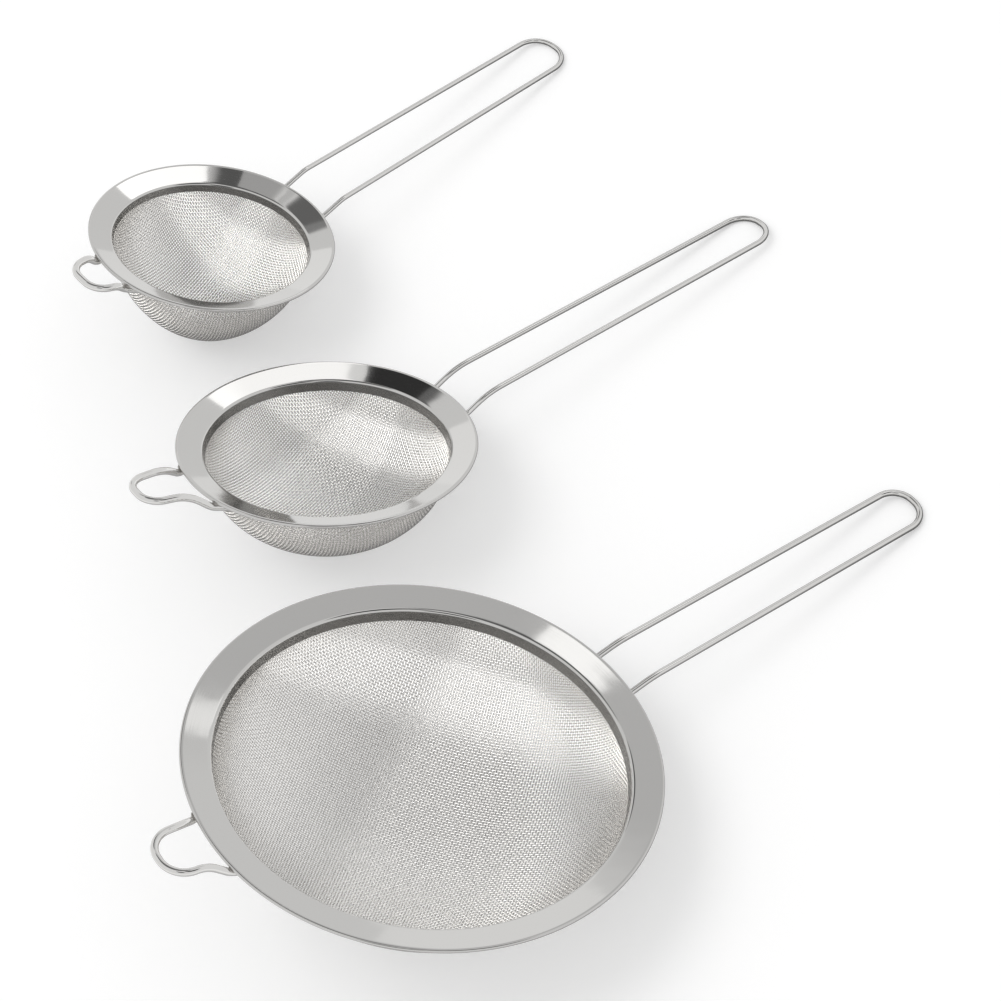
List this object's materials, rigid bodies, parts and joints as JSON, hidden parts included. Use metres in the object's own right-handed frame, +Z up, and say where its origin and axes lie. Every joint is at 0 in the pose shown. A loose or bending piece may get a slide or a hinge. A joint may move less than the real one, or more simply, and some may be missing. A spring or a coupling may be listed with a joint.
{
  "type": "set of wire mesh hand strainers",
  "caption": "Round woven-mesh hand strainers in graded sizes, each with a dished steel rim, a long closed wire handle and a wire loop opposite it that rests on a pot.",
  "frame": {"origin": "on the table, under the middle of the box that holds all three strainers", "axes": "+X along the handles from rim to loop, +Y from the large strainer to the small one, +Z up"},
  "size_m": [0.441, 0.462, 0.0985],
  "materials": {
    "pressed_sheet": "polished stainless sheet",
    "woven_cloth": "bright woven wire cloth",
    "bright_wire": "bright drawn and polished wire",
    "weld": "cleaned spot weld"
  },
  "bodies": {
    "large": {"large_rim": "pressed_sheet", "large_clamp_band": "pressed_sheet", "large_mesh_bowl": "woven_cloth", "large_handle": "bright_wire", "large_ear_loop": "bright_wire", "large_handle_welds": "weld", "large_ear_welds": "weld"},
    "medium": {"medium_rim": "pressed_sheet", "medium_clamp_band": "pressed_sheet", "medium_mesh_bowl": "woven_cloth", "medium_handle": "bright_wire", "medium_ear_loop": "bright_wire", "medium_handle_welds": "weld", "medium_ear_welds": "weld"},
    "small": {"small_rim": "pressed_sheet", "small_clamp_band": "pressed_sheet", "small_mesh_bowl": "woven_cloth", "small_handle": "bright_wire", "small_ear_loop": "bright_wire", "small_handle_welds": "weld", "small_ear_welds": "weld"}
  },
  "joints": [
    {"name": "medium_lift", "type": "slide", "parent": "large", "child": "medium", "axis": [0, 0, 1], "range_m": [0, 0.15]},
    {"name": "small_lift", "type": "slide", "parent": "large", "child": "small", "axis": [0, 0, 1], "range_m": [0, 0.15]}
  ]
}
